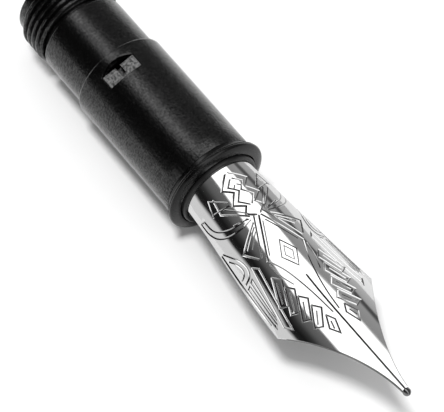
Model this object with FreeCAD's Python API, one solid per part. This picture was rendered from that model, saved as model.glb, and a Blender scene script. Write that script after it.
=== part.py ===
"""Screw-in front section of a pen: black grip, cap catches, ink feed and steel nib.

The pen axis is +X, towards the writing point, and +Z is the side that the slit faces.
The origin is on the axis, in the middle of the rear thread. Sizes are in millimetres.
"""
import FreeCAD
import Part
import math
import os

V = FreeCAD.Vector

# Black body, from the rear rim to the front lip
rear_rim_x = -2.5
rim_round = 0.15
pilot_radius = 3.5
thread_radius = 4.0
thread_root_radius = 3.64
thread_pitch = 0.6
thread_turns = 4.5
thread_crest_share = 0.15
undercut_radius = 3.6
spigot_start_x = 1.85
spigot_radius = 3.9
spigot_round = 0.25
step_x = 7.2
step_round = 0.28
grip_radius = 4.2
lip_start_x = 19.9
lip_x = 21.0
lip_radius = 4.6
lip_cove = 0.42
lip_round = 0.2
ring_tail_radius = 3.9
ring_tail_length = 1.9
ring_bore = 3.68
liner_radius = 3.6
core_front_x = 14.5

# Ink way and converter socket
socket_radius = 2.9
socket_end_x = 1.5
chamber_radius = 2.5
chamber_end_x = 4.5
nipple_radius = 1.2
nipple_bore = 0.6
nipple_start_x = 2.2
nipple_end_x = 10.6
nipple_slant = 30.0
nipple_slant_x = 2.9

# Nib unit, which screws into the front of the core
unit_seat_radius = 3.0
unit_seat_x = 11.3
shank_radius = 2.95
nose_radius = 3.6
nose_bore = 3.26
nose_start_x = 14.6
nose_x = 21.3
nose_wall = 0.4
nose_bevel_length = 0.2
nose_bevel_depth = 0.12
unit_end_gap = 0.35
unit_lead_in = 0.3
unit_thread_pitch = 0.8
unit_thread_groove = 0.25
stem_radius = 1.55
seal_x = 12.6
seal_section = 0.36
seal_mean_radius = 2.6
seal_groove_half = 0.43
seal_groove_radius = 2.2

# Nib blank: sheet rolled to a tube at the base, which opens out to the shoulders
sheet = 0.3
nib_rear_x = 15.2
flare_x = 21.5
shoulder_x = 35.0
nib_end_x = 44.75
nib_base_radius = 3.24
nib_shoulder_radius = 8.14
blank_half_width = 5.0
base_wrap = 93.0
crown_end_x = 36.0
crown_end_z = 1.74
tip_half_width = 0.28
tine_power = 1.72
slit_start_x = 32.4
slit_width = 0.08
point_radius = 0.34
point_forward = 0.18
point_drop = 0.2
flare_length = 4.0
tip_run = 0.45

# Cap catches: two slotted plates, one each side of the grip
catch_angle = -17.5
catch_rear_x = 8.58
catch_front_x = 9.9
catch_half_width = 1.56
catch_top = 3.97
catch_foot = 2.75
catch_slot = 0.42
catch_slot_length = 1.0
catch_slot_floor = 3.1
catch_bevel = 0.12
foot_rear_x = 8.35
foot_front_x = 10.2
foot_half_width = 1.9
foot_thickness = 0.24
catch_travel = 0.3
window_gap = 0.05
window_bow = 0.46
window_low = 3.0
window_high = 5.5
pocket_rear_x = 8.05
pocket_front_x = 10.45
pocket_half_width = 2.1
pocket_floor = 2.05
leaf_rear_x = 8.6
leaf_width = 1.3
leaf_strip = 0.14
leaf_reach = 1.95
leaf_bend = 1.35
leaf_gap = 0.05

# Feed, under the nib
feed_gap = 0.06
feed_end_x = 40.3
feed_half_width = 2.78
feed_narrowing = 2.38
feed_low = -3.15
feed_rise = 4.2
fin_count = 14
fin_start_x = 22.7
fin_pitch = 0.62
fin_slot = 0.26
fin_top = -1.5
fin_top_rise = 0.09
channel_width = 0.36
channel_floor = 1.0
channel_end_x = 39.6
deep_channel_end_x = 24.0

fit_gap = 0.02
far = 30.0


def rod(start, end, radius):
    """Solid round bar along the pen axis."""
    return Part.makeCylinder(radius, end - start, V(start, 0, 0), V(1, 0, 0))


def tube(start, end, outer, inner):
    """Round tube along the pen axis."""
    return rod(start, end, outer).cut(rod(start - 1, end + 1, inner))


def block(x_range, y_range, z_range):
    """Box between the given lowest and highest values."""
    low = V(x_range[0], y_range[0], z_range[0])
    size = [high - below for below, high in (x_range, y_range, z_range)]
    return Part.makeBox(size[0], size[1], size[2], low)


def turned(points):
    """Solid turned about the pen axis from (x, radius) points, closed along the axis."""
    line = [V(x, 0, radius) for x, radius in points]
    line = [V(points[0][0], 0, 0)] + line + [V(points[-1][0], 0, 0)]
    face = Part.Face(Part.makePolygon(line + [line[0]]))
    return face.revolve(V(0, 0, 0), V(1, 0, 0), 360)


def quarter(centre_x, centre_radius, size, start, end, steps=6):
    """Points of a round edge, as (x, radius), between two angles in degrees from +X."""
    points = []
    for step in range(steps + 1):
        angle = math.radians(start + (end - start) * step / steps)
        points.append((centre_x + size * math.cos(angle), centre_radius + size * math.sin(angle)))
    return points


def about_axis(shape, angle):
    """Copy turned about the pen axis, so that +Z leans towards +Y by the angle."""
    moved = shape.copy()
    moved.rotate(V(0, 0, 0), V(1, 0, 0), -angle)
    return moved


def catch_angles():
    """The near catch and the one opposite it."""
    return {"near": catch_angle, "far": catch_angle + 180.0}


def save(name, shape):
    """Write one node and say what it holds."""
    shape.exportStep("parts/" + name + ".step")
    print(name, "solids", len(shape.Solids), "valid", shape.isValid(), "mm3", round(shape.Volume, 2))


def section_core():
    """Turned black core: rear rim, thread, undercut, plain spigot and the hidden liner."""
    thread_start = -thread_turns * thread_pitch / 2
    crest = thread_pitch * thread_crest_share
    flank = (thread_pitch - 2 * crest) / 2
    points = quarter(rear_rim_x + rim_round, pilot_radius - rim_round, rim_round, 180, 90)
    points.append((thread_start - flank, pilot_radius))
    x = thread_start
    while x < -thread_start - thread_pitch / 4:
        points += [(x, thread_radius), (x + 2 * crest, thread_radius)]
        points.append((x + 2 * crest + flank, thread_root_radius))
        x += thread_pitch
    corner = spigot_radius - spigot_round
    points += [(spigot_start_x - 0.05, undercut_radius), (spigot_start_x, corner)]
    points += quarter(spigot_start_x + spigot_round, corner, spigot_round, 180, 90)
    points += [(step_x, spigot_radius), (step_x, liner_radius - fit_gap)]
    points.append((core_front_x, liner_radius - fit_gap))
    core = turned(points)
    core = core.cut(rod(rear_rim_x - 1, socket_end_x, socket_radius))
    core = core.cut(rod(socket_end_x - 0.1, chamber_end_x, chamber_radius))
    core = core.cut(rod(chamber_end_x - 0.1, unit_seat_x + 0.1, nipple_radius))
    core = core.cut(rod(unit_seat_x, core_front_x + 1, unit_seat_radius))
    for angle in catch_angles().values():
        across = (-pocket_half_width, pocket_half_width)
        pocket = block((pocket_rear_x, pocket_front_x), across, (pocket_floor, window_high))
        core = core.cut(about_axis(pocket, angle))
    return core


def catch_window():
    """Opening for one catch: straight sides, and a rear wall cut by a round cutter."""
    half = catch_half_width + window_gap
    heights = (window_low, window_high)
    opening = block((catch_rear_x, catch_front_x + window_gap), (-half, half), heights)
    cutter_radius = (half * half + window_bow * window_bow) / (2 * window_bow)
    centre = V(catch_rear_x - window_bow + cutter_radius, 0, window_low)
    cutter = Part.makeCylinder(cutter_radius, window_high - window_low, centre)
    rear = block((catch_rear_x - 1.0, catch_rear_x + 0.1), (-half, half), heights)
    return opening.fuse(cutter.common(rear))


def grip_sleeve():
    """Black sleeve over the liner, with a rounded rear corner and two catch windows."""
    points = [(step_x + fit_gap, spigot_radius - 0.1)]
    points += quarter(step_x + fit_gap + step_round, grip_radius - step_round, step_round, 180, 90)
    points.append((lip_start_x, grip_radius))
    sleeve = turned(points)
    sleeve = sleeve.cut(rod(step_x - 1, far, liner_radius))
    sleeve = sleeve.cut(rod(core_front_x, far, nose_radius + 0.1))
    mouth_x = lip_start_x - ring_tail_length - 0.1
    sleeve = sleeve.cut(rod(mouth_x, far, ring_tail_radius + fit_gap))
    for angle in catch_angles().values():
        sleeve = sleeve.cut(about_axis(catch_window(), angle))
    return sleeve


def front_ring():
    """Ring pressed into the sleeve's mouth; its rolled edge is the lip."""
    seat_x = lip_start_x + fit_gap
    points = [(lip_start_x - ring_tail_length, ring_tail_radius), (seat_x, ring_tail_radius)]
    points += [(seat_x, grip_radius), (lip_start_x + 0.1, grip_radius)]
    points += quarter(lip_start_x + 0.1, grip_radius + lip_cove, lip_cove, 270, 350)[1:]
    points += quarter(lip_x - 0.32, lip_radius - lip_round, lip_round, 150, 30)
    points += [(lip_x - 0.04, lip_radius - lip_cove), (lip_x, 3.95), (lip_x, ring_bore + fit_gap)]
    return turned(points).cut(rod(lip_start_x - 3, far, ring_bore))


def catch_plate():
    """One catch, pointing along +Z: a flat-topped steel plate with a slot and a wider foot."""
    across = (-catch_half_width, catch_half_width)
    top = block((catch_rear_x, catch_front_x), across, (catch_foot, catch_top))
    across = (-foot_half_width, foot_half_width)
    foot = block((foot_rear_x, foot_front_x), across, (catch_foot, catch_foot + foot_thickness))
    across = (-catch_slot / 2, catch_slot / 2)
    slot_end_x = catch_rear_x + catch_slot_length
    slot = block((catch_rear_x - 1, slot_end_x), across, (catch_slot_floor, window_high))
    bevel = block((-1, 1), (-3, 3), (-1, 1))
    bevel.rotate(V(0, 0, 0), V(0, 1, 0), 45)
    bevel.translate(V(catch_rear_x - math.sqrt(2) + catch_bevel, 0, catch_top))
    return top.fuse(foot).cut(slot).cut(bevel)


def catch_leaf():
    """Bent spring strip under one catch, resting on the pocket's floor."""
    low = pocket_floor + 0.03
    high = catch_foot - catch_travel - leaf_gap
    strip = leaf_strip
    ends = Part.LineSegment(V(0, -leaf_reach, low), V(0, -leaf_bend, low)).toShape()
    bow = Part.Arc(V(0, -leaf_bend, low), V(0, 0, high - strip), V(0, leaf_bend, low)).toShape()
    other = Part.LineSegment(V(0, leaf_bend, low), V(0, leaf_reach, low)).toShape()
    close = Part.LineSegment(V(0, leaf_reach, low), V(0, leaf_reach, low + strip)).toShape()
    upper = Part.LineSegment(V(0, leaf_reach, low + strip), V(0, leaf_bend, low + strip)).toShape()
    back = Part.Arc(V(0, leaf_bend, low + strip), V(0, 0, high), V(0, -leaf_bend, low + strip)).toShape()
    last = Part.LineSegment(V(0, -leaf_bend, low + strip), V(0, -leaf_reach, low + strip)).toShape()
    shut = Part.LineSegment(V(0, -leaf_reach, low + strip), V(0, -leaf_reach, low)).toShape()
    face = Part.Face(Part.Wire([ends, bow, other, close, upper, back, last, shut]))
    leaf = face.extrude(V(leaf_width, 0, 0))
    leaf.translate(V(leaf_rear_x, 0, 0))
    return leaf


def ink_nipple():
    """Steel tube that pierces the converter's seal, cut aslant at its rear end."""
    pipe = tube(nipple_start_x, nipple_end_x, nipple_radius, nipple_bore)
    slant = block((-4, 0), (-3, 3), (-6, 6))
    slant.rotate(V(0, 0, 0), V(0, 1, 0), nipple_slant)
    slant.translate(V(nipple_slant_x, 0, 0))
    return pipe.cut(slant)


def nib_housing():
    """Threaded collar that clamps the nib on the feed and screws into the core."""
    end_x = unit_seat_x + unit_end_gap
    groove = (seal_x - seal_groove_half, seal_x + seal_groove_half)
    points = [(end_x, shank_radius - unit_lead_in), (end_x + 0.25, shank_radius)]
    points += [(groove[0], shank_radius), (groove[0], seal_groove_radius)]
    points += [(groove[1], seal_groove_radius), (groove[1], shank_radius)]
    x = seal_x + 0.5
    while x < nose_start_x - unit_thread_pitch:
        points += [(x, shank_radius), (x + unit_thread_groove, shank_radius - unit_thread_groove)]
        points.append((x + 2 * unit_thread_groove, shank_radius))
        x += unit_thread_pitch
    points += [(nose_start_x, shank_radius), (nose_start_x, nose_radius)]
    points += [(nose_x - nose_bevel_length, nose_radius), (nose_x, nose_radius - nose_bevel_depth)]
    housing = turned(points)
    housing = housing.cut(rod(nose_start_x + nose_wall, far, nose_bore))
    return housing.cut(rod(unit_seat_x, far, stem_radius + 0.05))


def housing_seal():
    """Rubber ring in the housing's groove."""
    return Part.makeTorus(seal_mean_radius, seal_section, V(seal_x, 0, 0), V(1, 0, 0))


def curvature_radius(x):
    """Radius to which the nib's outside is rolled at x."""
    share = min(max((x - flare_x) / (shoulder_x - flare_x), 0.0), 1.0)
    base = 1 / nib_base_radius
    return 1 / (base + (1 / nib_shoulder_radius - base) * share)


def crown(x):
    """Height of the nib's top line above the axis."""
    share = min(max((x - flare_x) / (crown_end_x - flare_x), 0.0), 1.0)
    fall = share * share * (3 - 2 * share)
    return nib_base_radius - (nib_base_radius - crown_end_z) * fall


def half_angle(x):
    """Half of the angle that the nib's section spans at x, in radians."""
    radius = curvature_radius(x)
    if x <= flare_x:
        return math.radians(base_wrap)
    if x <= shoulder_x:
        wing = blank_half_width + (nib_base_radius * math.radians(base_wrap) - blank_half_width) * (
            max(0.0, 1 - (x - flare_x) / flare_length) ** 2
        )
        return wing / radius
    share = min((x - shoulder_x) / (nib_end_x + tip_run - shoulder_x), 1.0)
    widest = radius * math.sin(blank_half_width / radius)
    width = tip_half_width + (widest - tip_half_width) * (1 - share) ** tine_power
    return math.asin(width / radius)


def arch_point(x, inset, angle):
    """Point of the nib's section at x, the given depth inside its outer face."""
    radius = curvature_radius(x)
    reach = radius - inset
    return V(x, reach * math.sin(angle), crown(x) - radius + reach * math.cos(angle))


def nib_section(x):
    """Closed outline of the sheet's section at x."""
    edge = half_angle(x)
    outer = [arch_point(x, 0, angle) for angle in (-edge, 0, edge)]
    inner = [arch_point(x, sheet, angle) for angle in (edge, 0, -edge)]
    top = Part.Arc(*outer).toShape()
    right = Part.LineSegment(outer[2], inner[0]).toShape()
    under = Part.Arc(*inner).toShape()
    left = Part.LineSegment(inner[2], outer[0]).toShape()
    return Part.Wire([top, right, under, left])


def lofted(stations, section):
    """Solid through the sections at the given places along the axis."""
    return Part.makeLoft([section(x) for x in stations], True, False)


def spaced(start, end, count):
    """Evenly spaced places from start to end."""
    return [start + (end - start) * step / count for step in range(count + 1)]


def nib():
    """Steel nib: base tube, flare, shoulders and the two tines, parted by the slit."""
    base = lofted([nib_rear_x, flare_x], nib_section)
    flare = lofted(spaced(flare_x, shoulder_x, 7), nib_section)
    tines = lofted(spaced(shoulder_x, nib_end_x, 7), nib_section)
    blade = base.fuse(flare).fuse(tines)
    slit = block((slit_start_x, far * 2), (-slit_width / 2, slit_width / 2), (-1, 4))
    return blade.cut(slit)


def nib_point():
    """Two half beads of hard metal welded to the tines, with the slit between them."""
    centre = V(nib_end_x + point_forward, 0, crown_end_z - point_drop)
    bead = Part.makeSphere(point_radius, centre)
    bead = bead.cut(block((nib_end_x - 2, nib_end_x), (-2, 2), (-1, 4)))
    slit = block((nib_end_x - 1, far * 2), (-slit_width / 2, slit_width / 2), (-1, 4))
    return bead.cut(slit)


def feed_section(x):
    """Closed outline of the feed's nose at x: the top follows the nib's hollow side."""
    share = (x - flare_x) / (feed_end_x - flare_x)
    half = feed_half_width - feed_narrowing * share ** 1.6
    low = feed_low + feed_rise * share ** 1.7
    inset = sheet + feed_gap
    edge = math.asin(half / (curvature_radius(x) - inset))
    left, middle, right = [arch_point(x, inset, angle) for angle in (-edge, 0, edge)]
    top = Part.Arc(left, middle, right).toShape()
    under = Part.Arc(right, V(x, 0, low), left).toShape()
    return Part.Wire([top, under])


def feed():
    """Black feed: stem, round body, nose under the nib, air fins and the ink channel."""
    body_x = nose_start_x + nose_wall + 0.05
    stem = rod(unit_seat_x + 0.5, body_x + 0.05, stem_radius)
    body = rod(body_x, flare_x, nib_base_radius - sheet - 0.04)
    belly = rod(body_x, flare_x, nose_bore - 0.03)
    belly = belly.cut(block((0, far), (-5, 5), (-0.3, 5)))
    nose = lofted(spaced(flare_x, feed_end_x, 6), feed_section)
    solid = stem.fuse(body).fuse(belly).fuse(nose)
    for step in range(fin_count):
        x = fin_start_x + fin_pitch * step
        solid = solid.cut(block((x, x + fin_slot), (-5, 5), (-5, fin_top + fin_top_rise * step)))
    across = (-channel_width / 2, channel_width / 2)
    channel = block((unit_seat_x, channel_end_x), across, (channel_floor, 5))
    deep = block((unit_seat_x, deep_channel_end_x), across, (0.0, channel_floor + 0.1))
    return solid.cut(channel).cut(deep)


def build():
    """Write every node."""
    os.makedirs("parts", exist_ok=True)
    save("section_core", section_core())
    save("grip_sleeve", grip_sleeve())
    save("front_ring", front_ring())
    for side, angle in catch_angles().items():
        save("catch_plate_" + side, about_axis(catch_plate(), angle))
        save("catch_leaf_" + side, about_axis(catch_leaf(), angle))
    save("ink_nipple", ink_nipple())
    save("nib_housing", nib_housing())
    save("housing_seal", housing_seal())
    save("feed", feed())
    save("nib", nib())
    save("nib_point", nib_point())


build()
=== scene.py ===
"""The front section of a pen, laid on a pale table: black grip, cap catches, feed and engraved nib.

Lengths are in millimetres until a mesh is made, and the pen axis is X with the writing point at +X.
"""
import math

import bmesh
import bpy
import numpy as np
from mathutils import Matrix, Vector
from mathutils.geometry import delaunay_2d_cdt


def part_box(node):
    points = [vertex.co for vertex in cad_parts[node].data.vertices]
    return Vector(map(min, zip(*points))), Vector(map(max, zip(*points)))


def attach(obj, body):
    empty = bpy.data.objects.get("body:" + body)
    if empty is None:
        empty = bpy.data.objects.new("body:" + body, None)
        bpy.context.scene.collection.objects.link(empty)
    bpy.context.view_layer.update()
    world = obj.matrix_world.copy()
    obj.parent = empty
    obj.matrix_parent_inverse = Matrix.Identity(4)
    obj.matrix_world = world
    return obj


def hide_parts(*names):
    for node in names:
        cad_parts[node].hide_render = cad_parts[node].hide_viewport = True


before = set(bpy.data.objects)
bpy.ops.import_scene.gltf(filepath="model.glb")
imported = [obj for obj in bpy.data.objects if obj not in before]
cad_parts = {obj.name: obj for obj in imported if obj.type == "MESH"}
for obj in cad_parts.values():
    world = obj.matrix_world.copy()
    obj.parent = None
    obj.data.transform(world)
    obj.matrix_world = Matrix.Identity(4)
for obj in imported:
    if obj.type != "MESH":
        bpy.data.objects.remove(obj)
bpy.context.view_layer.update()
MM = 0.001


def extent(node):
    """Lowest and highest corner of a CAD part, in millimetres."""
    low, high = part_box(node)
    return low / MM, high / MM


# The table, the light and the eye
# A white sheet lies under the lip, with a broad overhead diffuser a little to the far side of the
# pen. Dark cards stand at the near side so that the polished steel shows black and grey bands.

sheet_height = extent("front_ring")[0].z
sheet_reach = 900.0


class Value:
    """A number or colour that varies over a surface. Sums on numbers add Math nodes."""

    def __init__(self, finish, socket):
        self.finish = finish
        self.socket = socket

    def sum(self, operation, first, second):
        return self.finish.node("ShaderNodeMath", {"operation": operation}, {0: first, 1: second})

    def __add__(self, other):
        return self.sum("ADD", self, other)

    def __radd__(self, other):
        return self.sum("ADD", other, self)

    def __sub__(self, other):
        return self.sum("SUBTRACT", self, other)

    def __rsub__(self, other):
        return self.sum("SUBTRACT", other, self)

    def __mul__(self, other):
        return self.sum("MULTIPLY", self, other)

    def __rmul__(self, other):
        return self.sum("MULTIPLY", other, self)

    def __truediv__(self, other):
        return self.sum("DIVIDE", self, other)


class Finish:
    """One procedural finish: a node tree and the calls that fill it."""

    def __init__(self, owner):
        owner.use_nodes = True
        self.owner = owner
        self.tree = owner.node_tree
        self.tree.nodes.clear()

    def node(self, kind, settings=None, sockets=None, out=0):
        """Add a node, set it, feed its sockets and return one of its outputs."""
        made = self.tree.nodes.new(kind)
        for name, value in (settings or {}).items():
            if name == "stops":
                self.set_stops(made.color_ramp, value)
            else:
                setattr(made, name, value)
        for name, value in (sockets or {}).items():
            if isinstance(value, Value):
                self.tree.links.new(value.socket, made.inputs[name])
            else:
                made.inputs[name].default_value = value
        return Value(self, made.outputs[out]) if made.outputs else None

    @staticmethod
    def set_stops(ramp, stops):
        while len(ramp.elements) < len(stops):
            ramp.elements.new(0.5)
        for element, (place, shade) in zip(ramp.elements, stops):
            element.position = place
            element.color = (shade, shade, shade, 1)


def surface(name, sockets, detail):
    """Material with a principled shader; detail adds what varies over it and returns its sockets."""
    material = bpy.data.materials.new(name)
    finish = Finish(material)
    shader = finish.node("ShaderNodeBsdfPrincipled", None, {**sockets, **detail(finish)})
    finish.node("ShaderNodeOutputMaterial", None, {"Surface": shader})
    return material


def sheet_grain(finish):
    place = finish.node("ShaderNodeTexCoord", out="Object")
    tone = finish.node("ShaderNodeTexNoise", None, {"Vector": place, "Scale": 60, "Detail": 3}, "Fac")
    shade = finish.node(
        "ShaderNodeValToRGB", {"stops": [(0.3, 0.9), (0.7, 0.93)]}, {"Fac": tone}, "Color"
    )
    return {"Base Color": shade}


def flat_sheet():
    """The white sheet, flat, and wide enough to fill every view."""
    half = sheet_reach * MM
    steps = 24
    points = []
    faces = []
    for row in range(steps + 1):
        for column in range(steps + 1):
            x = (2 * column / steps - 1) * half
            y = (2 * row / steps - 1) * half
            points.append((x, y, sheet_height * MM))
    for row in range(steps):
        for column in range(steps):
            first = row * (steps + 1) + column
            faces.append((first, first + 1, first + steps + 2, first + steps + 1))
    mesh = bpy.data.meshes.new("table_sheet")
    mesh.from_pydata(points, [], faces)
    made = bpy.data.objects.new("table_sheet", mesh)
    bpy.context.scene.collection.objects.link(made)
    mesh.materials.append(surface("sheet_white", {"Roughness": 0.9}, sheet_grain))


flat_sheet()

# How bright the cards are round the pen axis: 0 is underneath, 0.25 the near side, 0.5 overhead
nib_light_stops = [
    (0.0, 0.95), (0.31, 0.92), (0.328, 0.02), (0.358, 0.012), (0.385, 0.045), (0.412, 0.14),
    (0.452, 0.2), (0.462, 2.2), (0.594, 2.2), (0.602, 0.36), (0.66, 0.42), (0.676, 0.1),
    (0.69, 0.1), (0.7, 0.5), (0.8, 0.8), (0.88, 0.9),
]
body_light_stops = [
    (0.0, 1.0), (0.2, 0.5), (0.236, 0.03), (0.31, 0.01), (0.36, 0.003), (0.43, 0.01),
    (0.452, 1.8), (0.474, 3.1), (0.496, 2.8), (0.518, 1.2), (0.542, 0.28), (0.62, 0.22),
    (0.7, 0.28), (0.76, 0.34),
]
wash_grey = (0.5, 0.5, 0.5, 1)
backdrop_white = (0.93, 0.93, 0.93, 1)
lamp_power = 2.2
lamp_softness = math.radians(13)
lamp_tilt = math.radians(12)


def studio_light():
    """Cards and diffusers by their angle about the pen axis, a plain wash and an overhead lamp."""
    world = bpy.data.worlds.new("studio")
    bpy.context.scene.world = world
    finish = Finish(world)
    direction = finish.node("ShaderNodeTexCoord", out="Generated")
    sideways = finish.node("ShaderNodeSeparateXYZ", None, {"Vector": direction}, "Y")
    upward = Value(finish, sideways.socket.node.outputs["Z"])
    forward = Value(finish, sideways.socket.node.outputs["X"])
    angle = finish.node("ShaderNodeMath", {"operation": "ARCTAN2"}, {0: sideways, 1: upward})
    turn = angle / (2 * math.pi) + 0.5
    nib_cards = finish.node("ShaderNodeValToRGB", {"stops": nib_light_stops}, {"Fac": turn}, "Color")
    body_cards = finish.node("ShaderNodeValToRGB", {"stops": body_light_stops}, {"Fac": turn}, "Color")
    front = finish.node(
        "ShaderNodeValToRGB", {"stops": [(0.3, 0.0), (0.38, 1.0)]}, {"Fac": forward * 0.5 + 0.5}
    )
    cards = finish.node(
        "ShaderNodeMix", {"data_type": "RGBA"}, {0: front, 6: body_cards, 7: nib_cards}, 2
    )
    mirrored = finish.node("ShaderNodeBackground", None, {"Color": cards, "Strength": 1.0})
    wash = finish.node("ShaderNodeBackground", None, {"Color": wash_grey, "Strength": 1.0})
    matt = finish.node("ShaderNodeLightPath", out="Is Diffuse Ray")
    around = finish.node("ShaderNodeMixShader", None, {0: matt, 1: mirrored, 2: wash})
    seen = finish.node("ShaderNodeLightPath", out="Is Camera Ray")
    plain = finish.node("ShaderNodeBackground", None, {"Color": backdrop_white, "Strength": 1.0})
    mixed = finish.node("ShaderNodeMixShader", None, {0: seen, 1: around, 2: plain})
    finish.node("ShaderNodeOutputWorld", None, {"Surface": mixed})
    lamp = bpy.data.lights.new("overhead", "SUN")
    lamp.energy = lamp_power
    lamp.angle = lamp_softness
    hung = bpy.data.objects.new("overhead", lamp)
    hung.rotation_euler = (lamp_tilt, 0, 0)
    hung.visible_glossy = False
    bpy.context.scene.collection.objects.link(hung)


studio_light()


def eye():
    """Long lens, looking down at the pen from the front and its near side."""
    azimuth = math.radians(50.36)
    elevation = math.radians(57.0)
    roll = math.radians(3.57)
    distance = 188.37
    aim = Vector((22.42, -0.66, -0.27))
    back = Vector((
        math.sin(azimuth) * math.cos(elevation),
        -math.cos(azimuth) * math.cos(elevation),
        math.sin(elevation),
    ))
    level = Vector((math.cos(azimuth), math.sin(azimuth), 0))
    upright = back.cross(level)
    across = level * math.cos(roll) + upright * math.sin(roll)
    above = upright * math.cos(roll) - level * math.sin(roll)
    lens = bpy.data.cameras.new("eye")
    lens.lens = 189.9
    lens.sensor_width = 36.0
    lens.clip_start = 0.005
    lens.clip_end = 20.0
    made = bpy.data.objects.new("eye", lens)
    bpy.context.scene.collection.objects.link(made)
    turned = Matrix((across, above, back)).transposed().to_4x4()
    made.matrix_world = Matrix.Translation((aim + back * distance) * MM) @ turned
    bpy.context.scene.camera = made
    bpy.context.scene.view_settings.view_transform = "Standard"


eye()


# Black turned parts: core, sleeve and front ring
# All three are turned from bar and anodised black. The core carries the thread that screws into
# the holder; the sleeve slides over it; the ring is pressed into the sleeve and its roll is the lip.

sharp_from = math.radians(30)


def piece(name, points, faces, finish, body, stands_for=()):
    """Make an object from points in millimetres and hang it on its body."""
    mesh = bpy.data.meshes.new(name)
    mesh.from_pydata([Vector(point) * MM for point in points], [], faces)
    mesh.validate()
    made = bpy.data.objects.new(name, mesh)
    bpy.context.scene.collection.objects.link(made)
    mesh.shade_smooth()
    mesh.set_sharp_from_angle(angle=sharp_from)
    mesh.materials.append(finish)
    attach(made, body)
    if stands_for:
        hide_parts(*stands_for)
    return made


def round_edge(centre_x, centre_radius, size, start, end, steps=8):
    """Points of a round edge, as (x, radius), between two angles in degrees from +X."""
    found = []
    for step in range(steps + 1):
        angle = math.radians(start + (end - start) * step / steps)
        found.append((centre_x + size * math.cos(angle), centre_radius + size * math.sin(angle)))
    return found


def turned_mesh(profile, around=256, wave=None):
    """Points and faces of a ring turned about the pen axis from a closed (x, radius) profile."""
    points = []
    faces = []
    count = len(profile)
    for turn in range(around):
        angle = 2 * math.pi * turn / around
        for x, radius in profile:
            reach = radius + (wave(x, radius, angle) if wave else 0.0)
            points.append((x, reach * math.sin(angle), reach * math.cos(angle)))
    for turn in range(around):
        here = turn * count
        there = (turn + 1) % around * count
        for step in range(count):
            after = (step + 1) % count
            faces.append((here + step, here + after, there + after, there + step))
    return points, faces


def black_grain(finish):
    """Fine crossed tool marks under the anodising, as a speckled sheen and a slight relief."""
    place = finish.node("ShaderNodeTexCoord", out="Object")
    across = finish.node("ShaderNodeMapping", None, {"Vector": place, "Scale": (7, 1, 1)}, "Vector")
    marks = finish.node(
        "ShaderNodeTexNoise", None, {"Vector": across, "Scale": 2200, "Detail": 2}, "Fac"
    )
    specks = finish.node(
        "ShaderNodeTexNoise", None, {"Vector": place, "Scale": 6500, "Detail": 1}, "Fac"
    )
    uneven = marks * 0.5 + specks * 0.5
    sheen = finish.node(
        "ShaderNodeValToRGB", {"stops": [(0.4, 0.06), (0.6, 0.8)]}, {"Fac": uneven}, "Color"
    )
    bump = finish.node(
        "ShaderNodeBump", None, {"Height": specks, "Strength": 1.0, "Distance": 0.000025}, "Normal"
    )
    return {"Coat Weight": sheen, "Roughness": marks * 0.1 + specks * 0.3, "Normal": bump}


black_dye = (0.0012, 0.0012, 0.0012, 1)
anodised = surface(
    "black_anodised", {"Base Color": black_dye, "Specular IOR Level": 0.17, "Coat Roughness": 0.24},
    black_grain
)

core_low, core_high = extent("section_core")
sleeve_low, sleeve_high = extent("grip_sleeve")
ring_low, ring_high = extent("front_ring")
thread_crest = core_high.z
thread_root = thread_crest - 0.36
thread_pitch = 0.6
thread_reach = 1.35
thread_fade = 0.25
thread_run_out = 0.35
thread_rear = -1.6
thread_stop = 1.45
rim_radius = 3.5
undercut_radius = 3.4
spigot_start = 1.85
spigot_radius = 3.9
shoulder_round = 0.28
liner_start = 7.2
liner_radius = 3.58
unit_seat_end = 11.3
unit_seat_radius = 3.0
nipple_seat_radius = 1.2
chamber_front = 4.5
chamber_radius = 2.5
socket_end = 1.5
socket_radius = 2.9


def thread_wave(x, radius, angle):
    """Height of the right-hand thread above its root, fading where the tool ran out."""
    if radius < thread_root - 0.2:
        return 0.0
    if abs(x) > thread_reach + thread_fade:
        return 0.0
    turn = x / thread_pitch + angle / (2 * math.pi)
    share = abs((turn % 1.0) - 0.5) * 2
    height = min(max((share - 0.12) / 0.62, 0.0), 1.0)
    fade = min(max((thread_reach + thread_fade - abs(x)) / thread_run_out, 0.0), 1.0)
    return (thread_crest - thread_root) * height * fade


def core():
    """Rear rim, thread, undercut, spigot and liner, with the socket for the converter."""
    outline = round_edge(core_low.x + 0.15, rim_radius - 0.15, 0.15, 180, 90)
    outline += [(thread_rear - 0.02, rim_radius), (thread_rear, thread_root - 0.1)]
    steps = 100
    for step in range(steps + 1):
        outline.append((thread_rear + (thread_stop - thread_rear) * step / steps, thread_root))
    outline += [(thread_stop + 0.02, undercut_radius), (spigot_start - 0.03, undercut_radius)]
    outline += [(spigot_start, spigot_radius - 0.3)]
    outline += round_edge(
        spigot_start + shoulder_round, spigot_radius - shoulder_round, shoulder_round, 180, 90
    )
    outline += [(liner_start, spigot_radius), (liner_start, liner_radius), (core_high.x, liner_radius)]
    outline += [(core_high.x, unit_seat_radius), (unit_seat_end, unit_seat_radius)]
    outline += [(unit_seat_end, nipple_seat_radius), (chamber_front, nipple_seat_radius)]
    outline += [(chamber_front, chamber_radius), (socket_end, chamber_radius)]
    outline += [(socket_end, socket_radius), (core_low.x + 0.1, socket_radius)]
    outline += [(core_low.x, socket_radius + 0.1)]
    points, faces = turned_mesh(outline, 256, thread_wave)
    return piece("core_turned", points, faces, anodised, "section", ["section_core"])


core_turned = core()

ring_seat_depth = 2.0
ring_seat_radius = 3.92
nose_bore = 3.7
sleeve_bore = 3.6


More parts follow.
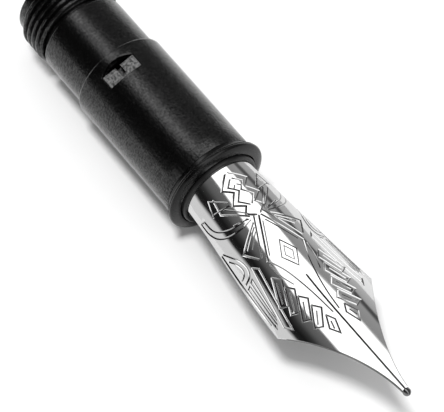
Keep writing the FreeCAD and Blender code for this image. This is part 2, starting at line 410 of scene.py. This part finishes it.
def sleeve():
    """Long grip tube; its extra rings keep the surface even round the catch windows."""
    ring_seat_rear = sleeve_high.x - ring_seat_depth
    outline = round_edge(
        sleeve_low.x + shoulder_round, sleeve_high.z - shoulder_round, shoulder_round, 180, 90
    )
    rings = (7.9, 8.08, 10.0, 10.15, 11.0, 12.5, 14.0, 15.5, 17.0, 18.5)
    outline += [(x, sleeve_high.z) for x in rings]
    outline += [(sleeve_high.x - 0.05, sleeve_high.z), (sleeve_high.x, sleeve_high.z - 0.05)]
    outline += [(sleeve_high.x, ring_seat_radius), (ring_seat_rear, ring_seat_radius)]
    outline += [(ring_seat_rear, nose_bore), (core_high.x, nose_bore)]
    outline += [(core_high.x, sleeve_bore), (sleeve_low.x, sleeve_bore)]
    points, faces = turned_mesh(outline, 256)
    return piece("sleeve_turned", points, faces, anodised, "section", ["grip_sleeve"])


sleeve_turned = sleeve()


def lip_grain(finish):
    """The ring is polished before it is dyed, so its sheen is plainer."""
    place = finish.node("ShaderNodeTexCoord", out="Object")
    specks = finish.node(
        "ShaderNodeTexNoise", None, {"Vector": place, "Scale": 6500, "Detail": 1}, "Fac"
    )
    return {"Roughness": specks * 0.3 + 0.08}


lip_black = surface("black_anodised_lip", {"Base Color": black_dye, "Specular IOR Level": 0.24}, lip_grain)

skirt_radius = 3.88
cove_round = 0.4
lip_round = 0.22


def lip_ring():
    """Skirt inside the sleeve, a hollow cove in front of it and the rounded lip."""
    lip = ring_high.z
    joint = sleeve_high.x + 0.02
    outline = [(ring_low.x, nose_bore), (ring_low.x, skirt_radius), (joint, skirt_radius + 0.02)]
    outline += [(joint, sleeve_high.z - 0.03)]
    outline += round_edge(joint + 0.1, sleeve_high.z + cove_round, cove_round, 275, 350)
    outline += round_edge(ring_high.x - 0.34, lip - lip_round, lip_round, 150, 30)
    outline += [(ring_high.x - 0.05, lip - 0.42), (ring_high.x, nose_bore + 0.25)]
    outline += [(ring_high.x, nose_bore + 0.02), (ring_high.x - 0.03, nose_bore - 0.02)]
    points, faces = turned_mesh(outline, 256)
    piece("front_ring_turned", points, faces, lip_black, "section", ["front_ring"])


lip_ring()


# Cap catches and their springs
# Each catch is a flat-topped plate of blasted stainless with a sawn slot and a filed rear edge. Its
# foot is held under the sleeve, and a bent strip of spring steel in the core's pocket lifts it.

catch_lean = math.radians(-17.5)
catch_rear = 8.58
catch_front = 9.9
catch_half = 1.56
catch_top = 3.97
catch_foot = 2.75
window_gap = 0.05
window_bow = 0.46
filed_edge = 0.13
slot_half = 0.21
slot_length = 1.0
foot_rear = 8.35
foot_front = 10.2
foot_half = 1.9
foot_sheet = 0.24
pocket_floor = 2.05


def leaned(points, angle):
    """Points turned about the pen axis, so that +Z leans towards +Y by the angle."""
    sine, cosine = math.sin(angle), math.cos(angle)
    return [(x, y * cosine + z * sine, z * cosine - y * sine) for x, y, z in points]


def slab(outline, low, high):
    """Points and faces of a flat plate with an outline in x and y, between two heights."""
    count = len(outline)
    points = [(x, y, low) for x, y in outline] + [(x, y, high) for x, y in outline]
    faces = [tuple(range(count))[::-1], tuple(range(count, 2 * count))]
    faces += [(i, (i + 1) % count, (i + 1) % count + count, i + count) for i in range(count)]
    return points, faces


def bevelled(made, width, steps=2, angle=35.0):
    """Round the sharp edges of a piece for good."""
    rounding = made.modifiers.new("rounding", "BEVEL")
    rounding.width = width * MM
    rounding.segments = steps
    rounding.limit_method = "ANGLE"
    rounding.angle_limit = math.radians(angle)
    rounding.harden_normals = True
    settle(made)


def settle(made):
    """Turn a piece's modifiers into plain mesh."""
    shape = made.evaluated_get(bpy.context.evaluated_depsgraph_get())
    mesh = bpy.data.meshes.new_from_object(shape)
    old = made.data
    made.modifiers.clear()
    made.data = mesh
    mesh.name = made.name
    bpy.data.meshes.remove(old)


def cut_away(made, points, faces):
    """Cut a closed shape out of a piece for good."""
    mesh = bpy.data.meshes.new("cutter")
    mesh.from_pydata([Vector(point) * MM for point in points], [], faces)
    tool = bpy.data.objects.new("cutter", mesh)
    bpy.context.scene.collection.objects.link(tool)
    cut = made.modifiers.new("cut", "BOOLEAN")
    cut.object = tool
    cut.operation = "DIFFERENCE"
    cut.solver = "EXACT"
    bpy.context.view_layer.update()
    settle(made)
    bpy.data.objects.remove(tool)


def blasted_grain(finish):
    """Coarse dents left by the blasting beads, with brighter rubbed high spots."""
    place = finish.node("ShaderNodeTexCoord", out="Object")
    dents = finish.node(
        "ShaderNodeTexNoise", None, {"Vector": place, "Scale": 4800, "Detail": 2}, "Fac"
    )
    rubbed = finish.node(
        "ShaderNodeTexNoise", None, {"Vector": place, "Scale": 4600, "Detail": 2}, "Fac"
    )
    shade = finish.node(
        "ShaderNodeValToRGB", {"stops": [(0.36, 0.04), (0.66, 0.17)]}, {"Fac": rubbed}, "Color"
    )
    bump = finish.node(
        "ShaderNodeBump", None, {"Height": dents, "Strength": 0.7, "Distance": 0.00004}, "Normal"
    )
    return {"Base Color": shade, "Roughness": dents * 0.3 + 0.25, "Normal": bump}


blasted_steel = surface("steel_blasted", {"Metallic": 1.0}, blasted_grain)


def catch_outline():
    """The plate from above: a slot with a round end runs in from the middle of the rear edge."""
    slot_end = catch_rear + slot_length
    outline = [(catch_rear, -catch_half), (catch_front, -catch_half), (catch_front, catch_half)]
    outline += [(catch_rear, catch_half), (catch_rear, slot_half)]
    for step in range(9):
        angle = math.pi / 2 - math.pi * step / 8
        outline.append((slot_end - slot_half * (1 - math.cos(angle)), slot_half * math.sin(angle)))
    return outline + [(catch_rear, -slot_half)]


def block(rear, front, half):
    """Outline of a plain oblong from above."""
    return [(rear, -half), (front, -half), (front, half), (rear, half)]


def catch(side, angle):
    """Plate with its filed rear edge, the lower rim it stands on, and the foot under the sleeve."""
    body = "catch_" + side
    plate, plate_faces = slab(catch_outline(), catch_foot, catch_top)
    plate = [
        (x + filed_edge if z > catch_foot and x < catch_rear + 0.01 else x, y, z) for x, y, z in plate
    ]
    rim, rim_faces = slab(catch_outline(), catch_foot, catch_top - filed_edge)
    foot, foot_faces = slab(block(foot_rear, foot_front, foot_half), catch_foot, catch_foot + foot_sheet)
    parts = (
        (body, plate, plate_faces, ["catch_plate_" + side], 0.045),
        ("catch_base_" + side, rim, rim_faces, [], 0.02),
        ("catch_foot_" + side, foot, foot_faces, [], 0.04),
    )
    for name, points, faces, stands_for, edge_round in parts:
        points = leaned(points, angle)
        made = piece(name, points, faces, blasted_steel, body, stands_for)
        bevelled(made, edge_round)


catch("near", catch_lean)
catch("far", catch_lean + math.pi)


def window_cutter(angle):
    """Opening in the sleeve for one catch: straight sides and a hollow curved rear wall."""
    half = catch_half + window_gap
    outline = [(catch_front + window_gap, -half), (catch_front + window_gap, half)]
    for step in range(17):
        share = 1 - 2 * step / 16
        outline.append((catch_rear - window_bow * (1 - share * share), half * share))
    points, faces = slab(outline, sleeve_bore - 0.6, sleeve_high.z + 1.3)
    return leaned(points, angle), faces


for lean in (catch_lean, catch_lean + math.pi):
    cut_away(sleeve_turned, *window_cutter(lean))
    around_foot = block(foot_rear - 0.3, foot_front + 0.25, foot_half + 0.2)
    pocket, pocket_faces = slab(around_foot, pocket_floor, pocket_floor + 2.95)
    cut_away(core_turned, leaned(pocket, lean), pocket_faces)
bevelled(sleeve_turned, 0.035, 2, 38.0)
for turned_part in (sleeve_turned, core_turned):
    turned_part.data.shade_smooth()
    turned_part.data.set_sharp_from_angle(angle=math.radians(32))


def strip_grain(finish):
    place = finish.node("ShaderNodeTexCoord", out="Object")
    along = finish.node(
        "ShaderNodeMapping", None, {"Vector": place, "Scale": (1, 0.08, 0.08)}, "Vector"
    )
    rolled = finish.node(
        "ShaderNodeTexNoise", None, {"Vector": along, "Scale": 6000, "Detail": 3}, "Fac"
    )
    shade = finish.node(
        "ShaderNodeValToRGB", {"stops": [(0.3, 0.4), (0.7, 0.58)]}, {"Fac": rolled}, "Color"
    )
    return {"Base Color": shade, "Roughness": rolled * 0.2 + 0.22}


spring_steel = surface("steel_spring", {"Metallic": 1.0}, strip_grain)


def keep_node(name, finish):
    """A CAD part whose shape is right takes a finish of its own."""
    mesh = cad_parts[name].data
    mesh.materials.clear()
    mesh.materials.append(finish)


keep_node("catch_leaf_near", spring_steel)
keep_node("catch_leaf_far", spring_steel)


# Ink nipple
# A short length of drawn stainless tube, ground aslant so that it pierces a converter's seal. It
# is pressed into the middle of the core.

def drawn_grain(finish):
    place = finish.node("ShaderNodeTexCoord", out="Object")
    along = finish.node("ShaderNodeMapping", None, {"Vector": place, "Scale": (0.06, 1, 1)}, "Vector")
    drawn = finish.node(
        "ShaderNodeTexNoise", None, {"Vector": along, "Scale": 7000, "Detail": 3}, "Fac"
    )
    shade = finish.node(
        "ShaderNodeValToRGB", {"stops": [(0.3, 0.5), (0.7, 0.68)]}, {"Fac": drawn}, "Color"
    )
    return {"Base Color": shade, "Roughness": drawn * 0.15 + 0.16}


keep_node("ink_nipple", surface("steel_drawn", {"Metallic": 1.0}, drawn_grain))


# Nib housing and its seal
# A moulded black collar screws into the core from the front. Its nose shows inside the lip and
# clamps the nib on the feed, and a rubber ring in its groove keeps the ink in.

def moulded_grain(finish):
    """Very fine orange-peel of a satin mould, with a few duller patches."""
    place = finish.node("ShaderNodeTexCoord", out="Object")
    peel = finish.node("ShaderNodeTexNoise", None, {"Vector": place, "Scale": 3800, "Detail": 2}, "Fac")
    patch = finish.node("ShaderNodeTexNoise", None, {"Vector": place, "Scale": 420, "Detail": 2}, "Fac")
    shade = finish.node(
        "ShaderNodeValToRGB", {"stops": [(0.3, 0.006), (0.7, 0.012)]}, {"Fac": patch}, "Color"
    )
    bump = finish.node(
        "ShaderNodeBump", None, {"Height": peel, "Strength": 0.3, "Distance": 0.00002}, "Normal"
    )
    return {"Base Color": shade, "Roughness": patch * 0.2 + 0.22, "Normal": bump}


moulded_black = surface("black_moulded", {"Specular IOR Level": 0.25}, moulded_grain)


def housing():
    """Threaded shank with the seal's groove, and the nose that clamps the nib."""
    rear = 11.65
    shank = 2.95
    nose = 3.6
    nose_start = 14.6
    front = 21.3
    seal_place = 12.6
    groove_half = 0.43
    groove_floor = 2.2
    ink_bore = 1.6
    nib_bore = 3.26
    pitch = 0.8
    thread_height = 0.25
    thread_start = 13.2
    thread_end = 14.3

    def shank_thread(x, radius, angle):
        if abs(radius - (shank - thread_height)) > 0.01 or not thread_start < x < thread_end:
            return 0.0
        share = abs(((x / pitch + angle / (2 * math.pi)) % 1.0) - 0.5) * 2
        return thread_height * min(max((share - 0.2) / 0.5, 0.0), 1.0)

    outline = [(rear, shank - 0.3), (rear + 0.25, shank), (seal_place - groove_half, shank)]
    outline += [(seal_place - groove_half, groove_floor), (seal_place + groove_half, groove_floor)]
    outline += [(seal_place + groove_half, shank), (thread_start - 0.05, shank)]
    outline += [(thread_start + 0.05 * step, shank - thread_height) for step in range(23)]
    outline += [(thread_end + 0.05, shank), (nose_start, shank)]
    outline += round_edge(nose_start + 0.1, nose - 0.1, 0.1, 180, 90, 3)
    outline += round_edge(front - 0.16, nose - 0.16, 0.16, 90, 0, 5)
    outline += round_edge(front - 0.06, nib_bore + 0.06, 0.06, 0, -90, 3)
    outline += [(nose_start + 0.4, nib_bore), (nose_start + 0.4, ink_bore), (rear, ink_bore)]
    points, faces = turned_mesh(outline, 192, shank_thread)
    piece("housing_moulded", points, faces, moulded_black, "nib_unit", ["nib_housing"])


housing()


def rubber_grain(finish):
    place = finish.node("ShaderNodeTexCoord", out="Object")
    bloom = finish.node("ShaderNodeTexNoise", None, {"Vector": place, "Scale": 900, "Detail": 3}, "Fac")
    shade = finish.node(
        "ShaderNodeValToRGB", {"stops": [(0.3, 0.02), (0.75, 0.045)]}, {"Fac": bloom}, "Color"
    )
    return {"Base Color": shade, "Roughness": bloom * 0.2 + 0.6}


keep_node("housing_seal", surface("rubber_black", {"Specular IOR Level": 0.3}, rubber_grain))


# Feed
# Moulded black plastic, etched so that it wets with ink. Its round body is clamped in the housing;
# its nose follows the hollow side of the nib, with air fins cut across its underside.

def etched_grain(finish):
    """Matt etched plastic, a little greyer where the ink has dried."""
    place = finish.node("ShaderNodeTexCoord", out="Object")
    etch = finish.node("ShaderNodeTexNoise", None, {"Vector": place, "Scale": 5000, "Detail": 3}, "Fac")
    stain = finish.node("ShaderNodeTexNoise", None, {"Vector": place, "Scale": 350, "Detail": 3}, "Fac")
    shade = finish.node(
        "ShaderNodeValToRGB", {"stops": [(0.3, 0.008), (0.75, 0.02)]}, {"Fac": stain}, "Color"
    )
    bump = finish.node(
        "ShaderNodeBump", None, {"Height": etch, "Strength": 0.4, "Distance": 0.00002}, "Normal"
    )
    return {"Base Color": shade, "Roughness": stain * 0.25 + 0.35, "Normal": bump}


keep_node("feed", surface("black_etched", {"Specular IOR Level": 0.4}, etched_grain))


# Nib
# Stainless sheet 0.3 thick, stamped, engraved and rolled: a tube at the base that opens out to wide
# shoulders and narrows to two tines, parted by a sawn slit. The base is clamped round the feed.

nib_sheet = 0.3
nib_rear = 15.2
flare_start = 21.5
shoulder = 35.0
crown_end = 36.0
tine_end = 44.75
slit_start = 32.4
slit_half = 0.032
base_radius = 3.24
base_wrap = math.radians(93)
shoulder_radius = 8.14
shoulder_reach = 5.0
flare_run = 4.0
crown_low = 1.74
tine_tip_half = 0.28
tine_curve = 1.72
groove_depth = 0.05
nib_edge_round = 0.05
rim_strip = 0.07
grid_step = 0.3
grid_columns = 99
merge_within = 1e-5
on_line = 1e-4
# The flanks shade as if rolled a little tighter, in degrees for each millimetre past the crown
tighter_places = [22, 27, 30, 33, 45]
tighter_roll = [-5.5, 0, 4.6, 6, 6]
even_crown = 1.2
least_forward_lean = 0.13


def rolled_radius(x):
    """Radius to which the nib's outer face is rolled at x."""
    share = np.clip((x - flare_start) / (shoulder - flare_start), 0, 1)
    return 1 / (1 / base_radius + (1 / shoulder_radius - 1 / base_radius) * share)


def crown_height(x):
    """Height of the nib's top line over the pen axis."""
    share = np.clip((x - flare_start) / (crown_end - flare_start), 0, 1)
    return base_radius - (base_radius - crown_low) * share * share * (3 - 2 * share)


def blank_half(x):
    """Half of the flat blank's width at x, measured round the sheet."""
    base = base_radius * base_wrap
    if x <= flare_start:
        return base
    if x <= shoulder:
        opening = max(0.0, 1 - (x - flare_start) / flare_run)
        return shoulder_reach + (base - shoulder_reach) * opening ** 2
    share = min((x - shoulder) / (tine_end + 0.45 - shoulder), 1.0)
    widest = shoulder_radius * math.sin(shoulder_reach / shoulder_radius)
    half = tine_tip_half + (widest - tine_tip_half) * (1 - share) ** tine_curve
    return shoulder_radius * math.asin(half / shoulder_radius)


def on_nib(x, side, inset):
    """Points of the nib from places on the flat blank, the given depth under its outer face."""
    radius = rolled_radius(x)
    angle = side / radius
    reach = radius - inset
    return np.stack([x, reach * np.sin(angle), crown_height(x) - radius + reach * np.cos(angle)], -1)


def blank_outline():
    """Outline of the flat blank, once round, with the slit as a narrow notch from the tip."""
    stations = [nib_rear + 0.2 * step for step in range(int((shoulder - nib_rear) / 0.2))]
    stations += [shoulder + (tine_end - shoulder) * step / 80 for step in range(81)]
    right = [(x, blank_half(x)) for x in stations]
    slit = [(tine_end, slit_half)]
    length = tine_end - slit_start
    slit += [(tine_end - length * step / 60, slit_half) for step in range(1, 60)]
    slit += [(slit_start, slit_half * 0.5)]
    near = right + slit
    return near + [(x, -side) for x, side in reversed(near)]


def inset_line(outline, size):
    """The outline moved inwards by a small size."""
    found = []
    count = len(outline)
    for index, (x, side) in enumerate(outline):
        before = Vector(outline[index - 1])
        after = Vector(outline[(index + 1) % count])
        along = (after - before).normalized()
        found.append((x + along.y * size, side - along.x * size))
    return found


def curve_through(points, spacing=0.16):
    """Smooth curve through a few points, as closely spaced points."""
    ends = [points[0]] + list(points) + [points[-1]]
    found = []
    for index in range(len(points) - 1):
        a, b, c, d = [Vector(point) for point in ends[index:index + 4]]
        count = max(2, math.ceil((c - b).length / spacing))
        for step in range(count):
            t = step / count
            bend = 2 * b + (c - a) * t + (2 * a - 5 * b + 4 * c - d) * t * t
            bend += (3 * b - a - 3 * c + d) * t ** 3
            found.append(tuple(bend / 2))
    return found + [tuple(points[-1])]


def straight_through(points, spacing=0.4):
    """Straight runs through points, divided so that they follow the rolled sheet."""
    found = []
    for start, end in zip(points, points[1:]):
        start, end = Vector(start), Vector(end)
        count = max(1, math.ceil((end - start).length / spacing))
        found += [tuple(start.lerp(end, step / count)) for step in range(count)]
    return found + [tuple(points[-1])]


def engraving():
    """Centre lines of the engraved strokes, as (points, half width) in x and width round the sheet."""
    strokes = []

    def straight(points, width=0.13):
        strokes.append((straight_through(points), width / 2))

    def bent(points, width=0.13):
        strokes.append((curve_through(points), width / 2))

    def outlined(points, width=0.12):
        straight(list(points) + [points[0]], width)

    # Panel in the middle of the nib, with its double rear border and hollow front edges
    straight([(26.35, 0.1), (29.75, 1.78)], 0.17)
    straight([(26.15, 0.46), (29.3, 2.03)], 0.14)
    bent([(29.75, 1.78), (31.2, 1.14), (32.8, 0.74), (34.5, 0.46), (36.2, 0.3)], 0.13)
    bent([(30.1, 1.86), (31.3, 1.72), (32.5, 1.32)], 0.12)
    straight([(26.9, 0.12), (29.5, 1.4)], 0.11)

    # Rays from the rear corner of the panel
    straight([(26.6, 0.86), (28.05, 3.05), (29.2, 2.25)], 0.17)
    straight([(26.95, 1.02), (28.05, 2.55)], 0.13)
    straight([(27.3, 1.15), (28.25, 2.2)], 0.11)
    straight([(26.0, 0.75), (24.35, 2.5), (23.0, 2.25)], 0.16)
    straight([(25.75, 0.7), (24.2, 2.05)], 0.12)
    straight([(24.0, 3.1), (22.8, 2.62), (23.95, 1.5)], 0.17)
    straight([(24.3, 1.45), (23.85, 3.05)], 0.14)
    straight([(26.15, 0.95), (25.75, 2.2)], 0.12)

    # Zigzags down the crown
    zigzag = [(21.9, 0.15), (22.95, 1.25), (23.65, 0.55), (24.5, 1.3), (25.15, 0.45), (25.7, 0.9)]
    straight(zigzag + [(26.2, 0.2)], 0.18)
    straight([(22.5, 0.1), (23.05, 0.68), (23.75, 0.1), (24.5, 0.74), (25.2, 0.1)], 0.15)
    straight([(23.15, 0.1), (23.4, 0.35)], 0.12)

    # Curved ribbons on the flanks
    bent([(23.3, 4.58), (24.4, 4.5), (25.4, 4.0), (26.1, 3.1), (26.38, 1.9), (26.3, 0.9)], 0.17)
    bent([(23.5, 4.1), (24.4, 4.0), (25.1, 3.6), (25.7, 2.8), (25.98, 1.9), (26.0, 1.1)], 0.16)
    straight([(23.3, 4.58), (23.5, 4.1)], 0.15)
    bent([(26.6, 4.5), (27.3, 4.05), (28.1, 3.6), (29.0, 3.45), (29.65, 3.75), (29.85, 4.4)], 0.17)
    bent([(27.4, 4.45), (28.1, 4.0), (28.9, 3.85), (29.3, 4.15), (29.35, 4.5)], 0.15)
    straight([(26.6, 4.72), (33.8, 4.72)], 0.17)

    # Long bars beside the shoulders
    outlined([(30.3, 4.5), (30.2, 4.2), (34.1, 4.3), (34.4, 4.52)], 0.13)
    outlined([(30.1, 3.98), (29.95, 3.68), (33.4, 4.0), (33.8, 4.12)], 0.13)
    outlined([(29.3, 3.12), (29.75, 2.72), (35.35, 3.62), (34.7, 4.02)], 0.15)

    # Row of slanted leaves in front of the rays
    for step in range(4):
        x = 31.0 + 1.25 * step
        side = 2.36 - 0.36 * step
        reach = 2.6 - 0.2 * step
        far_end = [(x + reach, side + 0.4), (x + reach - 0.3, side + 1.0)]
        outlined([(x, side), (x + 0.62, side - 0.5)] + far_end, 0.16)
        straight([(x + 0.62, side - 0.02), (x + reach - 0.4, side + 0.6)], 0.13)
    outlined([(36.1, 0.9), (36.8, 0.55), (38.0, 0.95), (37.2, 1.4)], 0.15)
    straight([(36.75, 0.92), (37.4, 1.1)], 0.13)

    # The same on the other side of the slit, then the lozenge in the middle of the panel
    strokes += [([(x, -side) for x, side in points], half) for points, half in strokes]
    straight([(28.9, 0), (30.2, 0.72), (31.5, 0), (30.2, -0.72), (28.9, 0)], 0.11)
    straight([(29.5, 0), (30.2, 0.36), (30.9, 0), (30.2, -0.36), (29.5, 0)], 0.09)
    return strokes


def stroke_bounds(points, half):
    """Closed line round a stroke, pointed at both ends, with its corners mitred."""
    near = []
    far = []
    count = len(points)
    for index, point in enumerate(points):
        before = Vector(points[max(index - 1, 0)])
        after = Vector(points[min(index + 1, count - 1)])
        here = Vector(point)
        first = (here - before).normalized() if index else (after - here).normalized()
        second = (after - here).normalized() if index < count - 1 else first
        across = Vector((-(first + second).y, (first + second).x)).normalized()
        square = Vector((-first.y, first.x))
        reach = half / max(across.dot(square), 0.45)
        near.append(tuple(here + across * reach))
        far.append(tuple(here - across * reach))
    head = Vector(points[-1]) + (Vector(points[-1]) - Vector(points[-2])).normalized() * half
    tail = Vector(points[0]) - (Vector(points[1]) - Vector(points[0])).normalized() * half
    return near + [tuple(head)] + far[::-1] + [tuple(tail)]


def groove_share(places, strokes):
    """How deep each place on the blank lies in a stroke, from 0 beside it to 1 on its centre line."""
    deepest = np.zeros(len(places))
    for points, half in strokes:
        line = np.array(points)
        low, high = line.min(0) - half, line.max(0) + half
        close = np.where(np.all((places > low) & (places < high), axis=1))[0]
        if not len(close):
            continue
        start, run = line[:-1], line[1:] - line[:-1]
        away = places[close][:, None, :] - start[None]
        share = np.clip((away * run).sum(2) / np.maximum((run * run).sum(1), 1e-12), 0, 1)
        gap = np.linalg.norm(away - share[..., None] * run[None], axis=2).min(1)
        deepest[close] = np.maximum(deepest[close], 1 - gap / half)
    deepest[deepest < 0.02] = 0
    return deepest


def nib_steel(finish):
    """Bright polish with faint lines along the nib; its base colour carries painted shade in the
    engraving, the slit and on the tines' edges.
    """
    place = finish.node("ShaderNodeTexCoord", out="Object")
    along = finish.node("ShaderNodeMapping", None, {"Vector": place, "Scale": (0.12, 1, 1)}, "Vector")
    lines = finish.node(
        "ShaderNodeTexNoise", None, {"Vector": along, "Scale": 9000, "Detail": 3}, "Fac"
    )
    haze = finish.node("ShaderNodeTexNoise", None, {"Vector": place, "Scale": 700, "Detail": 3}, "Fac")
    # The groove attribute holds painted shade, darkening the base colour in the strokes, the slit and on
    # the edges; it also adds roughness there.
    groove = finish.node("ShaderNodeAttribute", {"attribute_name": "groove"}, None, "Fac")
    rough = haze * 0.06 + lines * 0.04 + groove * 0.15 + 0.03
    shade = finish.node(
        "ShaderNodeValToRGB", {"stops": [(0.0, 0.64), (0.3, 0.42), (0.75, 0.14), (1.0, 0.02)]},
        {"Fac": groove}, "Color"
    )
    height = lines * 0.5 + haze * 0.5
    bump = finish.node(
        "ShaderNodeBump", None, {"Height": height, "Strength": 0.08, "Distance": 0.00001}, "Normal"
    )
    return {"Base Color": shade, "Roughness": rough, "Normal": bump}


polished_steel = surface("steel_polished", {"Metallic": 1.0}, nib_steel)


def flat_blank(strokes):
    """Points and triangles of the flat blank, with lines along its outline and every stroke."""
    outline = blank_outline()
    places = []
    lines = []

    def add_line(points, closed):
        first = len(places)
        places.extend(Vector(point) for point in points)
        count = len(points)
        for index in range(count if closed else count - 1):
            lines.append((first + index, first + (index + 1) % count))
        return list(range(first, first + count))

    rim = add_line(outline, True)
    add_line(inset_line(outline, rim_strip), True)
    for points, half in strokes:
        add_line(points, False)
        add_line(stroke_bounds(points, half), True)
    for column in range(grid_columns):
        x = nib_rear + grid_step / 2 + grid_step * column
        half = blank_half(x) - 0.16
        rows = max(1, math.ceil(half / 0.25))
        for row in range(-rows, rows + 1):
            side = half * row / rows
            if x < slit_start - 0.2 or abs(side) > slit_half + 0.1:
                places.append(Vector((x, side)))
    flat, _, triangles, *_ = delaunay_2d_cdt(places, lines, [rim], 1, merge_within, False)
    flat = np.array([tuple(point) for point in flat])
    triangles = np.array([tuple(face) for face in triangles])
    first, second, third = (flat[triangles[:, corner]] for corner in range(3))
    turn = np.cross(second - first, third - first)
    triangles = triangles[np.abs(turn) > 1e-9]
    flip = turn[np.abs(turn) > 1e-9] < 0
    triangles[flip] = triangles[flip][:, ::-1]
    # The triangles fill the slit and the hollow curves of the tines too, so these are taken out
    sawn = (np.abs(flat[:, 1]) < slit_half + on_line) & (flat[:, 0] > slit_start - on_line)
    middle = flat[triangles].mean(axis=1)
    right = np.array([point for point in outline if point[1] > slit_half + on_line])
    beyond = np.abs(middle[:, 1]) > np.interp(middle[:, 0], right[:, 0], right[:, 1])
    return flat, triangles[~(sawn[triangles].all(axis=1) | beyond)]


def facing(x, side):
    """Directions in which the rolled sheet faces, with the flanks' tighter shading."""
    tiny = 1e-3
    face = np.zeros(len(x))
    along = on_nib(x + tiny, side, face) - on_nib(x - tiny, side, face)
    across = on_nib(x, side + tiny, face) - on_nib(x, side - tiny, face)
    outward = np.cross(along, across)
    outward /= np.linalg.norm(outward, axis=1)[:, None]
    tighter = np.interp(x, tighter_places, tighter_roll) * np.maximum(np.abs(side) - even_crown, 0)
    roll = np.radians(tighter) * np.sign(side)
    turned_y = outward[:, 1] * np.cos(roll) + outward[:, 2] * np.sin(roll)
    turned_z = outward[:, 2] * np.cos(roll) - outward[:, 1] * np.sin(roll)
    outward = np.stack([np.maximum(outward[:, 0], least_forward_lean), turned_y, turned_z], -1)
    return outward / np.linalg.norm(outward, axis=1)[:, None]


def engraved_nib():
    """Roll the blank, sink the strokes, give it its thickness and round its edges by shading. Its strokes,
    slit and edges get painted shade in the base colour.
    """
    strokes = engraving()
    flat, triangles = flat_blank(strokes)
    count = len(flat)
    edges = dict.fromkeys(
        (int(face[corner]), int(face[(corner + 1) % 3])) for face in triangles for corner in range(3)
    )
    border = [edge for edge in edges if edge[::-1] not in edges]
    on_rim = np.zeros(count, bool)
    on_rim[[index for edge in border for index in edge]] = True

    depth = groove_share(flat, strokes)
    depth[on_rim] = 0
    x, side = flat[:, 0], flat[:, 1]
    upper = on_nib(x, side, depth * groove_depth + on_rim * nib_edge_round)
    under = on_nib(x, side, np.full(count, nib_sheet))
    outward = facing(x, side)
    lean = np.zeros((count, 3))
    walls = []
    for start, end in border:
        walls.append((end, start, start + count, end + count))
        run = upper[end] - upper[start]
        out = np.cross(run, outward[start])
        out /= np.linalg.norm(out)
        lean[start] += out
        lean[end] += out
    length = np.linalg.norm(lean, axis=1)
    lean[length > 0] /= length[length > 0][:, None]

    points = np.concatenate([upper, under])
    faces = triangles.tolist() + (triangles[:, ::-1] + count).tolist() + walls
    mesh = bpy.data.meshes.new("nib_engraved")
    mesh.from_pydata((points * MM).tolist(), [], faces)
    mesh.shade_smooth()
    rounded = outward + lean
    rounded /= np.linalg.norm(rounded, axis=1)[:, None]
    normals = []
    for face in triangles:
        a, b, c = upper[face]
        square = np.cross(b - a, c - a)
        square /= max(np.linalg.norm(square), 1e-12)
        cut = depth[face].max() > 0
        for index in face:
            normals.append(square if cut else rounded[index] if on_rim[index] else outward[index])
    for face in triangles:
        normals += [-outward[index] for index in face[::-1]]
    for end, start, *_ in walls:
        normals += [lean[end], lean[start], lean[start], lean[end]]
    mesh.normals_split_custom_set([tuple(normal) for normal in normals])
    # Painted shade for the base colour: darker in the strokes, less so towards the front, and darkest on
    # the tines' edges, in the slit and round the underside rim.
    groove = mesh.attributes.new("groove", "FLOAT", "POINT")
    painted_shade = depth * np.interp(x, [30, 34], [0.75, 0.5])
    in_slit = on_rim & (np.abs(side) < slit_half + on_line) & (x > slit_start - 0.1)
    tine_rim = on_rim & (x > shoulder + 0.5)
    painted_shade[tine_rim | in_slit] = 1.0
    painted_shade_under = np.maximum(tine_rim * 0.8, on_rim * 0.3)
    groove.data.foreach_set("value", np.concatenate([painted_shade, painted_shade_under]))
    made = bpy.data.objects.new("nib_engraved", mesh)
    bpy.context.scene.collection.objects.link(made)
    mesh.materials.append(polished_steel)
    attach(made, "nib_unit")
    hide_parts("nib")


engraved_nib()


# Writing point
# Two half beads of a hard white metal, fused to the ends of the tines and ground smooth. The slit
# runs on between them.

def point_grain(finish):
    place = finish.node("ShaderNodeTexCoord", out="Object")
    ground = finish.node(
        "ShaderNodeTexNoise", None, {"Vector": place, "Scale": 6000, "Detail": 3}, "Fac"
    )
    shade = finish.node(
        "ShaderNodeValToRGB", {"stops": [(0.3, 0.12), (0.7, 0.2)]}, {"Fac": ground}, "Color"
    )
    return {"Base Color": shade, "Roughness": ground * 0.12 + 0.08}


hard_metal = surface("metal_hard", {"Metallic": 1.0}, point_grain)


def half_bead(side):
    """One half bead: a ball that runs back into a neck over the end of its tine."""
    centre_x = 44.929
    centre_z = 1.54
    size = 0.34
    outline = [(44.6, 0.02), (44.62, 0.12), (44.7, 0.2)]
    outline += round_edge(centre_x, 0, size, 140, 3, 18)
    outline += [(centre_x + size, 0.002)]
    around = 40
    points = []
    for turn in range(around):
        angle = 2 * math.pi * turn / around
        for x, radius in outline:
            points.append((x, radius * math.sin(angle), centre_z + radius * math.cos(angle)))
    count = len(outline)
    faces = []
    for turn in range(around):
        here = turn * count
        there = (turn + 1) % around * count
        faces += [(here + i, here + i + 1, there + i + 1, there + i) for i in range(count - 1)]
    faces.append(tuple(turn * count for turn in range(around))[::-1])
    faces.append(tuple(turn * count + count - 1 for turn in range(around)))
    name = "half_bead_left" if side < 0 else "half_bead_right"
    made = piece(name, points, faces, hard_metal, "nib_unit", ["nib_point"])
    shape = bmesh.new()
    shape.from_mesh(made.data)
    cut = bmesh.ops.bisect_plane(
        shape, geom=shape.verts[:] + shape.edges[:] + shape.faces[:], dist=1e-7,
        plane_co=(0, side * slit_half * MM, 0), plane_no=(0, -side, 0), clear_outer=True,
    )
    rim = [part for part in cut["geom_cut"] if isinstance(part, bmesh.types.BMEdge)]
    bmesh.ops.contextual_create(shape, geom=rim)
    bmesh.ops.recalc_face_normals(shape, faces=shape.faces[:])
    shape.to_mesh(made.data)
    shape.free()
    made.data.shade_smooth()
    made.data.set_sharp_from_angle(angle=math.radians(50))


half_bead(-1)
half_bead(1)
